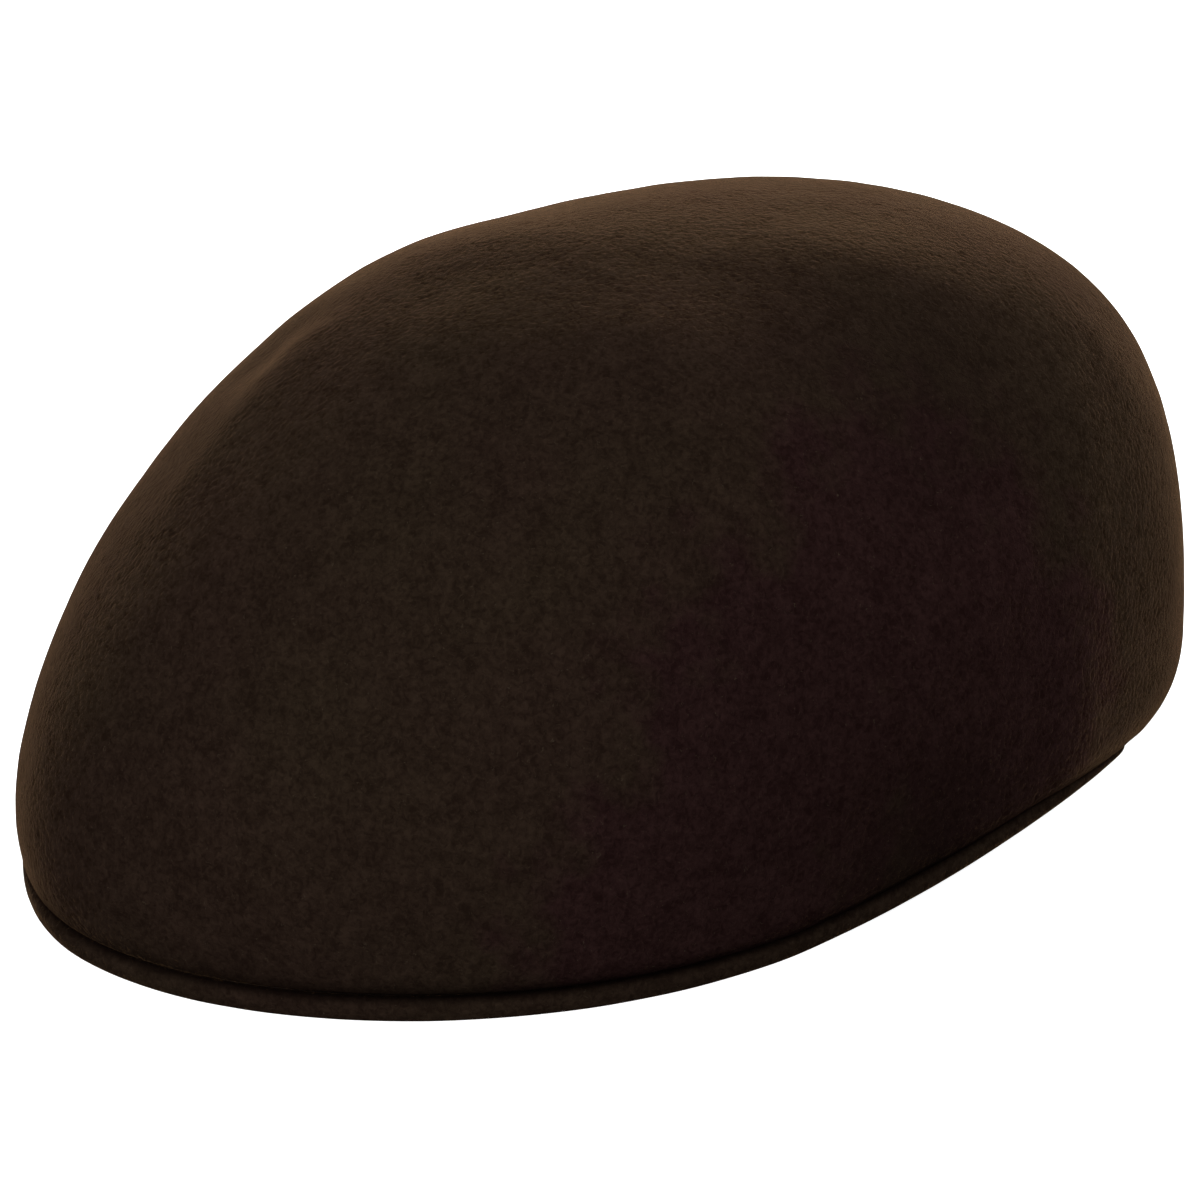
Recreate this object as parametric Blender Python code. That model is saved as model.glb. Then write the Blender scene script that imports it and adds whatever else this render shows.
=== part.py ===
"""A felt ascot cap: one blocked crown over a short stiffened peak, with band and lining.

Frame: +Z up, the wearer faces -Y, +X is the wearer's left. The origin is the middle of
the underside, so the cap stands on the plane z = 0.

Every piece is built from the same vertical sections. They stand round the crown's axis,
one for each point of the crown's widest outline, so neighbouring pieces keep their gaps.
Lengths below are in millimetres, and `place` turns a section's points into metres.
"""
import math
from collections import namedtuple

import bmesh
import bpy

MM = 0.001

# ---- Driving dimensions, in millimetres ----
LENGTH = 280.0                 # crown, front to back
HALF_WIDTH = 99.0              # crown, at its widest
WIDEST_Y = -20.5               # where it is widest: a little ahead of the middle
HEIGHT = 120.0
BULGE_HEIGHT = 13.0            # height of the widest outline
FELT = 3.0                     # thickness of the blocked felt
GAP = 0.3                      # clearance kept between pieces that touch

ARCH = 6.0                     # how far the lower edge rises near the back of the sides
ARCH_START_Y = -27.0           # where it leaves the ground

STRIP_HEIGHT = 5.0             # the facing's folded edge, below the crown
STRIP_PROUD = 0.8              # how far that edge stands out of the crease
STRIP_TAPER_START_Y = 40.0     # where it starts to thin towards the back
STRIP_END_Y = 88.0             # where it ends in a point
STRIP_END_HEIGHT = 0.5
FACING_END_WIDTH = 2.5

FLANGE = 2.4                   # thickness of the crown's turned-in edge
FLANGE_WIDTH = 12.0            # in front; behind, it reaches the head opening

OPENING_HALF_WIDTH = 82.0      # head opening in the felt, an ellipse
OPENING_HALF_LENGTH = 101.5
OPENING_CENTRE_Y = 10.0

BOARD_FLOOR = 1.8              # felt left under the peak board
BOARD_THICKNESS = 2.2
BOARD_LIP = 3.0                # felt left between board and folded edge
BOARD_INNER_LIP = 2.0          # and between board and head opening
BOARD_ANGLE = 62.0             # degrees each side of the front
BOARD_DEPTH = 40.0
BOARD_TIP_WIDTH = 2.0

BAND_THICKNESS = 1.2
BAND_LOW = 2.6
BAND_HIGH = 36.0
BAND_LEAN = 1.5                # the top edge stands this much wider than the bottom
BAND_MIDDLE = (BAND_LOW + BAND_HIGH) / 2
REED_RADIUS = 0.75
REED_HEIGHT = 1.3
TAPE_THICKNESS = 0.8
TAPE_HALF_WIDTH = 6.0
TAPE_HALF_HEIGHT = 15.0
BOW_THICKNESS = 1.4
BOW_HALF_WIDTH = 12.0
BOW_HALF_HEIGHT = 4.5
BOW_WAIST_HALF_HEIGHT = 1.8
BOW_KNOT_HALF_HEIGHT = 2.8
BOW_KNOT_SHARE = 0.2           # half width of the knot, as a share of the bow's
BOW_HEIGHT = 23.0

LINING = 0.8
LINING_GAP = 0.7               # between the crown's inner face and the lining
LINING_SPREAD = 0.25           # how fast the lining widens above the head opening
LINING_SOFTNESS = 3.0          # how gently it comes to lie along the crown
LINING_SEAM = 0.62             # place of the seam along a section, 0 low to 1 at the top
SEAM_SLIT = 0.004              # half the slit between the panels, in the same measure
PIPING_RADIUS = 1.0

LABEL_LOW = 16.0
LABEL_THICKNESS = 0.5
LABEL_CLEARANCE = 2.2          # from the head opening to their outer face
SIZE_LABEL_ANGLE = 15.0        # degrees from the back, towards the wearer's left
SIZE_LABEL_HALF_WIDTH = 8.0
SIZE_LABEL_HALF_HEIGHT = 14.0
CARE_LABEL_ANGLE = -17.0
CARE_LABEL_HALF_WIDTH = 13.0
CARE_LABEL_HALF_HEIGHT = 19.0

# ---- Colours, linear red, green and blue ----
DARK_FELT = (0.020, 0.012, 0.008)
LEATHER = (0.045, 0.022, 0.012)
SATIN = (0.06, 0.03, 0.018)

# ---- How finely the surfaces are divided ----
COLUMNS_PER_QUARTER = 18
CROWN_STEPS = 12
ROLL_STEPS = 5
LINING_STEPS = 8

# ---- Shape of the crown: values for front, side and back sections ----
Blend = namedtuple("Blend", "front side back")
ROLL_INSET = Blend(1.2, 5.9, 3.9)      # how far the lower edge rolls in, mm
LOW_PULL = Blend(0.33, 0.70, 0.69)     # how steeply a section leaves the bulge
TOP_PULL = Blend(0.54, 0.63, 0.88)     # how wide it stays near the top
# Bezier handles of the widest outline, as shares of the half width and of the length
FRONT_HANDLE = 0.46
FRONT_SIDE_HANDLE = 0.52
BACK_SIDE_HANDLE = 0.59
BACK_HANDLE = 0.62

Column = namedtuple("Column", "angle east north reach opening inset low top strip rise")


def bezier(a, b, c, d, t):
    """Value of the cubic Bezier with the four given control values."""
    s = 1.0 - t
    return s ** 3 * a + 3 * s * s * t * b + 3 * s * t * t * c + t ** 3 * d


def smoothstep(low, high, value):
    share = min(1.0, max(0.0, (value - low) / (high - low)))
    return share * share * (3.0 - 2.0 * share)


def mixed(blend, east, north):
    """Mix of a front, side and back value for the direction (east, north)."""
    end = blend.back if north > 0 else blend.front
    return end * north * north + blend.side * east * east


def outline():
    """Points of the crown's widest outline, from the front round by the left."""
    front = -LENGTH / 2
    back = LENGTH / 2
    half = []
    for i in range(COLUMNS_PER_QUARTER):
        t = i / COLUMNS_PER_QUARTER
        x = bezier(0, FRONT_HANDLE * HALF_WIDTH, HALF_WIDTH, HALF_WIDTH, t)
        y = bezier(front, front, WIDEST_Y - FRONT_SIDE_HANDLE * (WIDEST_Y - front), WIDEST_Y, t)
        half.append((x, y))
    for i in range(COLUMNS_PER_QUARTER):
        t = i / COLUMNS_PER_QUARTER
        x = bezier(HALF_WIDTH, HALF_WIDTH, BACK_HANDLE * HALF_WIDTH, 0, t)
        y = bezier(WIDEST_Y, WIDEST_Y + BACK_SIDE_HANDLE * (back - WIDEST_Y), back, back, t)
        half.append((x, y))
    half.append((0.0, back))
    mirrored = [(-x, y) for x, y in reversed(half[1:-1])]
    return half + mirrored


def opening_reach(east, north):
    """Distance from the axis to the head opening's ellipse in one direction."""
    a = OPENING_HALF_WIDTH
    b = OPENING_HALF_LENGTH
    quadratic = (east / a) ** 2 + (north / b) ** 2
    linear = -2.0 * north * OPENING_CENTRE_Y / b ** 2
    constant = (OPENING_CENTRE_Y / b) ** 2 - 1.0
    root = math.sqrt(linear ** 2 - 4.0 * quadratic * constant)
    return (-linear + root) / (2.0 * quadratic)


def strip_height(y):
    """Height of the facing's folded edge: full, then a long taper, then none."""
    if y > STRIP_END_Y:
        return 0.0
    fade = smoothstep(STRIP_TAPER_START_Y, STRIP_END_Y, y)
    return STRIP_HEIGHT + (STRIP_END_HEIGHT - STRIP_HEIGHT) * fade


def arch(y):
    """Rise of the lower edge above the ground: none in front and at the very back."""
    share = max(0.0, (y - ARCH_START_Y) / (LENGTH / 2 - ARCH_START_Y))
    greatest = 4.0 / 27.0      # of share squared times (1 - share)
    return ARCH * share * share * (1.0 - share) / greatest


def make_columns():
    columns = []
    for x, y in outline():
        reach = math.hypot(x, y)
        east = x / reach
        north = y / reach
        columns.append(Column(
            angle=math.atan2(east, -north),
            east=east,
            north=north,
            reach=reach,
            opening=opening_reach(east, north),
            inset=mixed(ROLL_INSET, east, north),
            low=mixed(LOW_PULL, east, north),
            top=mixed(TOP_PULL, east, north),
            strip=strip_height(y),
            rise=arch(y),
        ))
    return columns


# ---- Sections: lists of (distance from the axis, height) ----

def seat(column):
    """Height of the crown's lower edge: on the facing, or level with its foot behind it."""
    return column.rise + (column.strip + GAP if column.strip > 0 else 0.0)


def crown_point(column, t, depth=0.0):
    """Point of the crown's section, t from 0 at the bulge to 1 at the top, at a depth."""
    reach = column.reach
    bulge = BULGE_HEIGHT + column.rise
    height = HEIGHT - bulge
    step = 1e-4
    low = max(0.0, t - step)
    high = min(1.0, t + step)
    r = [reach * bezier(1, 1, column.top, 0, k) for k in (low, t, high)]
    z = [bulge + height * bezier(0, column.low, 1, 1, k) for k in (low, t, high)]
    along_r = r[2] - r[0]
    along_z = z[2] - z[0]
    length = math.hypot(along_r, along_z)
    return (r[1] - depth * along_z / length, z[1] + depth * along_r / length)


def crown_wall(column, depth):
    """The crown's section at a depth below its outer face, from bulge to top."""
    return [crown_point(column, i / CROWN_STEPS, depth) for i in range(CROWN_STEPS + 1)]


def roll(column, wall, low):
    """The quarter ellipse by which the lower edge turns in, from the bulge down."""
    bulge = BULGE_HEIGHT + column.rise
    points = []
    for i in range(1, ROLL_STEPS + 1):
        turn = math.radians(90.0 * i / ROLL_STEPS)
        r = wall - column.inset * (1.0 - math.cos(turn))
        z = bulge - math.sin(turn) * (bulge - low)
        points.append((r, z))
    return points


def crown_section(column):
    """The crown from its outer top, down and round its turned-in edge, to its inner top."""
    low = seat(column)
    edge = column.reach - column.inset
    full = column.opening + GAP
    widen = smoothstep(0.0, STRIP_TAPER_START_Y, column.north * column.reach)
    flange_end = max(full, edge - FLANGE_WIDTH + widen * (full - edge + FLANGE_WIDTH))
    outer = crown_wall(column, 0.0)[::-1][1:]
    outer += roll(column, column.reach, low)
    flange = [(flange_end, low), (flange_end, low + FLANGE)]
    inner = roll(column, column.reach - FELT, low + FLANGE)[::-1]
    inner += crown_wall(column, FELT)[:-1]
    return outer + flange + inner


def facing_section(column):
    """The felt facing: from the head opening out to its folded edge."""
    outer = column.reach - column.inset + STRIP_PROUD
    inner = column.opening + GAP
    narrow = smoothstep(STRIP_TAPER_START_Y, STRIP_END_Y, column.north * column.reach)
    inner += narrow * (outer - FACING_END_WIDTH - inner)
    foot = column.rise
    top = foot + column.strip
    return [(inner, foot), (outer, foot), (outer, top), (inner, top)]


def board_span(column):
    """Inner and outer distance of the peak board, which narrows to a tip at each side."""
    share = min(1.0, abs(column.angle) / math.radians(BOARD_ANGLE))
    inner = column.opening + BOARD_INNER_LIP
    widest = column.reach - column.inset + STRIP_PROUD - BOARD_LIP
    tapered = inner + BOARD_TIP_WIDTH + BOARD_DEPTH * (1.0 - share * share)
    return inner, min(widest, tapered)


def board_section(column):
    inner, outer = board_span(column)
    low = BOARD_FLOOR + GAP
    high = low + BOARD_THICKNESS
    return [(inner, low), (outer, low), (outer, high), (inner, high)]


def pocket_section(column):
    """The room the board lies in, open upwards, a gap larger than the board."""
    inner, outer = board_span(column)
    high = 2.0 * STRIP_HEIGHT
    return [
        (inner - GAP, BOARD_FLOOR),
        (outer + GAP, BOARD_FLOOR),
        (outer + GAP, high),
        (inner - GAP, high),
    ]


def band_face(opening, z):
    """Distance from the axis to the outer face of the sweatband at a height."""
    lean = BAND_LEAN * (z - BAND_LOW) / (BAND_HIGH - BAND_LOW)
    return opening - GAP + lean


def band_section(column):
    low = band_face(column.opening, BAND_LOW)
    high = band_face(column.opening, BAND_HIGH)
    foot = BAND_LOW + column.rise
    top = BAND_HIGH + column.rise
    return [(low - BAND_THICKNESS, foot), (low, foot), (high, top), (high - BAND_THICKNESS, top)]


def round_section(r, z, radius, sides=8):
    """A circle round the point (r, z) of a section."""
    turns = [2.0 * math.pi * i / sides for i in range(sides)]
    return [(r + radius * math.cos(turn), z + radius * math.sin(turn)) for turn in turns]


def reed_section(column):
    r = band_face(column.opening, BAND_LOW) - BAND_THICKNESS / 2
    return round_section(r, REED_HEIGHT + column.rise, REED_RADIUS)


def lining_point(column, t, depth):
    """Point of the lining: near the crown's inner face, or on a cone from the opening."""
    r, z = crown_point(column, t, FELT + LINING_GAP + depth)
    foot = column.opening + 2 * GAP + LINING - depth
    cone = foot + LINING_SPREAD * (z - seat(column) - FLANGE)
    blend = min(1.0, max(0.0, 0.5 + 0.5 * (r - cone) / LINING_SOFTNESS))
    softened = LINING_SOFTNESS * blend * (1.0 - blend) / 2
    return (r + (cone - r) * blend - softened, z)


def lining_curve(column, depth, start, end):
    span = (end - start) / LINING_STEPS
    return [lining_point(column, start + span * i, depth) for i in range(LINING_STEPS + 1)]


def lining_side_section(column):
    """The side wall, from the head opening up to the seam."""
    low = seat(column) + FLANGE + 2 * GAP
    foot = column.opening + 2 * GAP
    end = LINING_SEAM - SEAM_SLIT
    outer = [(foot + LINING, low)] + lining_curve(column, 0.0, 0.0, end)
    inner = [(foot, low)] + lining_curve(column, LINING, 0.0, end)
    return outer + inner[::-1]


def lining_tip_section(column):
    """The top panel, from its outer top to the seam and back to its inner top."""
    start = LINING_SEAM + SEAM_SLIT
    outer = lining_curve(column, 0.0, start, 1.0)[::-1][1:]
    inner = lining_curve(column, LINING, start, 1.0)[:-1]
    return outer + inner


def piping_section(column):
    r, z = lining_point(column, LINING_SEAM, LINING + GAP + PIPING_RADIUS)
    return round_section(r, z, PIPING_RADIUS, sides=6)


# ---- Making solids ----

def material(name, colour, roughness):
    made = bpy.data.materials.new(name)
    made.use_nodes = True
    shader = made.node_tree.nodes["Principled BSDF"]
    shader.inputs["Base Color"].default_value = (*colour, 1.0)
    shader.inputs["Roughness"].default_value = roughness
    shader.inputs["Metallic"].default_value = 0.0
    made.diffuse_color = (*colour, 1.0)
    return made


def place(direction, point):
    """A section's point in space, in metres, on the side that direction points to."""
    east, north = direction
    r, z = point
    return (east * r * MM, north * r * MM, z * MM)


def finish_object(name, built, look, smooth_angle=35.0):
    """Turn a bmesh into a named object with outward faces and its own material."""
    bmesh.ops.recalc_face_normals(built, faces=built.faces)
    mesh = bpy.data.meshes.new(name)
    built.to_mesh(mesh)
    built.free()
    mesh.shade_smooth()
    mesh.set_sharp_from_angle(angle=math.radians(smooth_angle))
    if look is not None:
        mesh.materials.append(look)
    made = bpy.data.objects.new(name, mesh)
    bpy.context.scene.collection.objects.link(made)
    return made


def strip_faces(built, first, second, loop):
    """Join two neighbouring sections with a row of faces."""
    count = len(first)
    for i in range(count if loop else count - 1):
        k = (i + 1) % count
        built.faces.new((first[i], first[k], second[k], second[i]))


def ring(name, directions, sections, look, closed=True):
    """Sweep closed sections round the axis: a whole ring, or a stretch with flat ends."""
    built = bmesh.new()
    rows = []
    for direction, section in zip(directions, sections):
        rows.append([built.verts.new(place(direction, point)) for point in section])
    for first, second in zip(rows, rows[1:]):
        strip_faces(built, first, second, loop=True)
    if closed:
        strip_faces(built, rows[-1], rows[0], loop=True)
    else:
        built.faces.new(rows[0])
        built.faces.new(rows[-1])
    return finish_object(name, built, look)


def dome(name, directions, sections, outer_top, inner_top, look):
    """Sweep open sections whose two ends meet on the axis, at the outer and inner top."""
    built = bmesh.new()
    rows = []
    for direction, section in zip(directions, sections):
        rows.append([built.verts.new(place(direction, point)) for point in section])
    above = built.verts.new((0.0, 0.0, outer_top * MM))
    below = built.verts.new((0.0, 0.0, inner_top * MM))
    for first, second in zip(rows, rows[1:] + rows[:1]):
        strip_faces(built, first, second, loop=False)
        built.faces.new((above, first[0], second[0]))
        built.faces.new((below, first[-1], second[-1]))
    return finish_object(name, built, look)


def headings(columns):
    return [(column.east, column.north) for column in columns]


def sweep(name, columns, section_of, look, closed=True):
    return ring(name, headings(columns), [section_of(column) for column in columns], look, closed)


def patch(name, look, centre, half_width, z_middle, half_height, face, thickness, steps=8):
    """A thin piece lying along the head opening.

    centre is the angle from the back, half_height gives half its height at a share of
    its half width, and face gives the distance from the axis for an opening and height.
    """
    around = opening_reach(math.sin(centre), math.cos(centre))
    directions = []
    sections = []
    for i in range(steps + 1):
        share = 2.0 * i / steps - 1.0
        turn = centre + share * half_width / around
        direction = (math.sin(turn), math.cos(turn))
        opening = opening_reach(*direction)
        low = z_middle - half_height(share)
        high = z_middle + half_height(share)
        outer = [(face(opening, low), low), (face(opening, high), high)]
        inner = [(face(opening, high) - thickness, high), (face(opening, low) - thickness, low)]
        directions.append(direction)
        sections.append(outer + inner)
    return ring(name, directions, sections, look, closed=False)


# ---- The pieces ----

def make_crown(columns):
    felt = material("crown_felt", DARK_FELT, 0.95)
    sections = [crown_section(column) for column in columns]
    dome("crown", headings(columns), sections, HEIGHT, HEIGHT - FELT, felt)


def make_facing(columns):
    """The facing, with the pocket for the peak board cut into its upper side."""
    felt = material("facing_felt", DARK_FELT, 0.95)
    ordered = sorted(
        (column for column in columns if column.strip > 0),
        key=lambda column: column.angle,
    )
    facing = sweep("brim_facing", ordered, facing_section, felt, closed=False)
    reach = math.radians(BOARD_ANGLE + 6.0)
    pocket_columns = [column for column in ordered if abs(column.angle) < reach]
    pocket = sweep("pocket_cutter", pocket_columns, pocket_section, None, closed=False)
    pocket.hide_render = True
    pocket.display_type = "WIRE"
    cut = facing.modifiers.new("board_pocket", "BOOLEAN")
    cut.object = pocket
    cut.operation = "DIFFERENCE"


def make_board(columns):
    plastic = material("board_plastic", (0.06, 0.06, 0.06), 0.6)
    ordered = sorted(columns, key=lambda column: column.angle)
    reach = math.radians(BOARD_ANGLE)
    peak = [column for column in ordered if abs(column.angle) < reach]
    sweep("peak_board", peak, board_section, plastic, closed=False)


def make_band(columns):
    """The sweatband with its reed, and the tape and bow over its join at the back."""
    leather = material("band_leather", LEATHER, 0.5)
    tape_leather = material("tape_leather", LEATHER, 0.5)
    reed = material("reed_plastic", (0.05, 0.03, 0.02), 0.5)
    ribbon = material("bow_ribbon", (0.03, 0.016, 0.01), 0.6)
    sweep("sweatband", columns, band_section, leather)
    sweep("sweatband_reed", columns, reed_section, reed)

    def tape_face(opening, z):
        return band_face(opening, z) - BAND_THICKNESS - GAP

    def bow_face(opening, z):
        return tape_face(opening, z) - TAPE_THICKNESS - GAP

    def tape_half_height(share):
        return TAPE_HALF_HEIGHT

    def bow_half_height(share):
        across = abs(share)
        if across < BOW_KNOT_SHARE:
            return BOW_KNOT_HALF_HEIGHT
        loop = (across - BOW_KNOT_SHARE) / (1.0 - BOW_KNOT_SHARE)
        return BOW_WAIST_HALF_HEIGHT + (BOW_HALF_HEIGHT - BOW_WAIST_HALF_HEIGHT) * math.sqrt(loop)

    patch("sweatband_join_tape", tape_leather, 0.0, TAPE_HALF_WIDTH, BAND_MIDDLE, tape_half_height,
          tape_face, TAPE_THICKNESS)
    patch("sweatband_bow", ribbon, 0.0, BOW_HALF_WIDTH, BOW_HEIGHT, bow_half_height,
          bow_face, BOW_THICKNESS, steps=16)


def make_lining(columns):
    side_satin = material("lining_satin", SATIN, 0.35)
    tip_satin = material("tip_satin", SATIN, 0.35)
    cord = material("piping_satin", (0.04, 0.02, 0.012), 0.4)
    sweep("lining_side", columns, lining_side_section, side_satin)
    sections = [lining_tip_section(column) for column in columns]
    top = HEIGHT - FELT - LINING_GAP
    dome("lining_tip", headings(columns), sections, top, top - LINING, tip_satin)
    sweep("lining_piping", columns, piping_section, cord)


def make_labels():
    """Two blank tags that stand up behind the sweatband, in front of the lining."""
    size_cloth = material("label_cloth", (0.35, 0.27, 0.17), 0.8)
    care_cloth = material("care_cloth", (0.62, 0.58, 0.5), 0.6)

    def tag_face(opening, z):
        return opening + LABEL_CLEARANCE

    def size_half_height(share):
        return SIZE_LABEL_HALF_HEIGHT

    def care_half_height(share):
        return CARE_LABEL_HALF_HEIGHT

    patch("size_label", size_cloth, math.radians(SIZE_LABEL_ANGLE), SIZE_LABEL_HALF_WIDTH,
          LABEL_LOW + SIZE_LABEL_HALF_HEIGHT, size_half_height, tag_face, LABEL_THICKNESS)
    patch("care_label", care_cloth, math.radians(CARE_LABEL_ANGLE), CARE_LABEL_HALF_WIDTH,
          LABEL_LOW + CARE_LABEL_HALF_HEIGHT, care_half_height, tag_face, LABEL_THICKNESS)


def main():
    for old in list(bpy.data.objects):
        bpy.data.objects.remove(old, do_unlink=True)
    columns = make_columns()
    make_crown(columns)
    make_facing(columns)
    make_board(columns)
    make_band(columns)
    make_lining(columns)
    make_labels()


main()
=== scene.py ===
"""Looks of the felt ascot cap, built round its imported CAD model.

Lengths are in millimetres, as in the part's source, whose vertical sections this script
repeats more finely; mesh_object turns points into metres. +Z is up, the wearer faces -Y
and +X is the wearer's left.
"""
import math
from types import SimpleNamespace

import bmesh
import bpy
import numpy as np
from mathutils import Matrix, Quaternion, Vector, noise


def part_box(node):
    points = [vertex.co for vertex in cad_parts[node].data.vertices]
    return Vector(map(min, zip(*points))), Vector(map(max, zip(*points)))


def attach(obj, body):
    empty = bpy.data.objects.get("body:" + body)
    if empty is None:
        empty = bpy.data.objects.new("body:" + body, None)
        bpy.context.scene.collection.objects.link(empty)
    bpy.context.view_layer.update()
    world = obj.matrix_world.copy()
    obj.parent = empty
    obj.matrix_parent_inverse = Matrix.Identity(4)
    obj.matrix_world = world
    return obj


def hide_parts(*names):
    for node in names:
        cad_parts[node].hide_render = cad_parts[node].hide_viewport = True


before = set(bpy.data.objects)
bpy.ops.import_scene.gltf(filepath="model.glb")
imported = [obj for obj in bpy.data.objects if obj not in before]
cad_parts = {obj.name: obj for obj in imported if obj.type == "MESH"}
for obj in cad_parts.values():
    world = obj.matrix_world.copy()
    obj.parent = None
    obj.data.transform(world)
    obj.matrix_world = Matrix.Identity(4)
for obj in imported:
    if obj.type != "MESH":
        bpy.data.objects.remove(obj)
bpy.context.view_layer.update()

MM = 0.001
CROWN_LOW, CROWN_HIGH = (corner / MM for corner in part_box("crown"))

# ---- The part's driving dimensions; its source says more about them ----
LENGTH = CROWN_HIGH.y - CROWN_LOW.y
HALF_WIDTH = CROWN_HIGH.x
HEIGHT = CROWN_HIGH.z
WIDEST_Y = -20.5
BULGE_HEIGHT = 13.0
FELT = 3.0
GAP = 0.3  # clearance kept between pieces that touch
ARCH = 6.0
ARCH_START_Y = -27.0
STRIP_HEIGHT = 5.0
STRIP_PROUD = 0.8
STRIP_TAPER_START_Y = 40.0
STRIP_END_Y = 88.0
STRIP_END_HEIGHT = 0.5
FACING_END_WIDTH = 2.5
FLANGE = 2.4
FLANGE_WIDTH = 12.0
OPENING_HALF_WIDTH = 82.0  # head opening in the felt, an ellipse
OPENING_HALF_LENGTH = 101.5
OPENING_CENTRE_Y = 10.0
BOARD_FLOOR = 1.8
BOARD_LIP = 3.0
BOARD_INNER_LIP = 2.0
BOARD_ANGLE = 62.0  # degrees each side of the front
BOARD_DEPTH = 40.0
BOARD_TIP_WIDTH = 2.0
BAND_THICKNESS = 1.2
BAND_LOW = 2.6
BAND_HIGH = 36.0
BAND_LEAN = 1.5
REED_RADIUS = 0.75
REED_HEIGHT = 1.3
TAPE_THICKNESS = 0.8
TAPE_HALF_WIDTH = 6.0
TAPE_HALF_HEIGHT = 15.0
BOW_HEIGHT = 23.0
BOW_HALF_WIDTH = 12.0
BOW_HALF_HEIGHT = 4.5
BOW_THICKNESS = 1.4
LINING = 0.8
LINING_GAP = 0.7
LINING_SPREAD = 0.25
LINING_SOFTNESS = 3.0
LINING_SEAM = 0.62  # place of the seam along a section, 0 low to 1 at the top
SEAM_SLIT = 0.004  # half the slit between the panels, in the same measure
PIPING_RADIUS = 1.0
LABEL_LOW = 16.0
LABEL_THICKNESS = 0.5
LABEL_CLEARANCE = 2.2
SIZE_LABEL = SimpleNamespace(angle=15.0, half_width=8.0, half_height=14.0)
CARE_LABEL = SimpleNamespace(angle=-17.0, half_width=13.0, half_height=19.0)

# Values for the front, side and back sections
ROLL_INSET = (1.2, 5.9, 3.9)  # how far the lower edge rolls in
LOW_PULL = (0.33, 0.70, 0.69)  # how steeply a section leaves the bulge
TOP_PULL = (0.54, 0.63, 0.88)  # how wide it stays near the top
# Bezier handles of the widest outline, as shares of the half width and of the length
FRONT_HANDLE = 0.46
FRONT_SIDE_HANDLE = 0.52
BACK_SIDE_HANDLE = 0.59
BACK_HANDLE = 0.62

# ---- How finely the surfaces are divided ----
OUTLINE_POINTS = 400
ANGLE_POINTS = 2000  # along the outline, to space the columns evenly
COLUMNS = 320
CROWN_STEPS = 120
ROLL_STEPS = 18
FLANGE_STEPS = 6
INNER_STEPS = 24
FACING_COLUMNS = 300
FACING_STEPS = 60
FOLD_STEPS = 12
BAND_STEPS = 16
PATCH_COLUMNS = 33
PATCH_STEPS = 24
LINING_STEPS = 40
SEAM_POINTS = 600
REED_SIDES = 14
PIPING_SIDES = 12
SHARP_ANGLE = 50.0  # degrees; sharper edges aren't smoothed

# ---- View, as the photograph has it ----
CAMERA_AT = Vector((591.9, -399.2, 378.6))
CAMERA_TARGET = Vector((3.7, -6.5, 40.6))
CAMERA_ROLL = -1.36  # degrees
CAMERA_LENS = 108.6
CAMERA_SENSOR = 36.0


# ---- Sections, as in the part ----

def bezier(a, b, c, d, t):
    """A cubic Bezier curve's value at t, from 0 to 1."""
    s = 1.0 - t
    return s ** 3 * a + 3 * s * s * t * b + 3 * s * t * t * c + t ** 3 * d


def smoothstep(low, high, value):
    """0 up to low, 1 from high on, and a soft rise between them."""
    share = np.clip((value - low) / (high - low), 0.0, 1.0)
    return share * share * (3.0 - 2.0 * share)


def bell(away, width):
    """1 at no distance, falling off softly over a width."""
    return np.exp(-0.5 * (away / width) ** 2)


def squared(value, power):
    """A power of a value that keeps its sign, to make a round squarer."""
    return np.sign(value) * np.abs(value) ** power


def outline_table():
    """Angle from the front and distance from the axis along the left half of the outline."""
    front = -LENGTH / 2
    back = LENGTH / 2
    t = np.linspace(0.0, 1.0, OUTLINE_POINTS)
    side_y = WIDEST_Y - FRONT_SIDE_HANDLE * (WIDEST_Y - front)
    x = bezier(0, FRONT_HANDLE * HALF_WIDTH, HALF_WIDTH, HALF_WIDTH, t)
    y = bezier(front, front, side_y, WIDEST_Y, t)
    side_y = WIDEST_Y + BACK_SIDE_HANDLE * (back - WIDEST_Y)
    x = np.append(x, bezier(HALF_WIDTH, HALF_WIDTH, BACK_HANDLE * HALF_WIDTH, 0, t[1:]))
    y = np.append(y, bezier(WIDEST_Y, side_y, back, back, t[1:]))
    return np.arctan2(x, -y), np.hypot(x, y)


OUTLINE_ANGLE, OUTLINE_REACH = outline_table()


def opening_reach(east, north):
    """Distance from the axis to the head opening's ellipse in one direction."""
    b = OPENING_HALF_LENGTH
    quadratic = (east / OPENING_HALF_WIDTH) ** 2 + (north / b) ** 2
    linear = -2.0 * north * OPENING_CENTRE_Y / b ** 2
    constant = (OPENING_CENTRE_Y / b) ** 2 - 1.0
    return (-linear + np.sqrt(linear ** 2 - 4.0 * quadratic * constant)) / (2.0 * quadratic)


def mixed(values, east, north):
    """A value between those of the front, side and back sections, for one direction."""
    front, side, back = values
    end = np.where(north > 0, back, front)
    return end * north ** 2 + side * east ** 2


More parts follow.
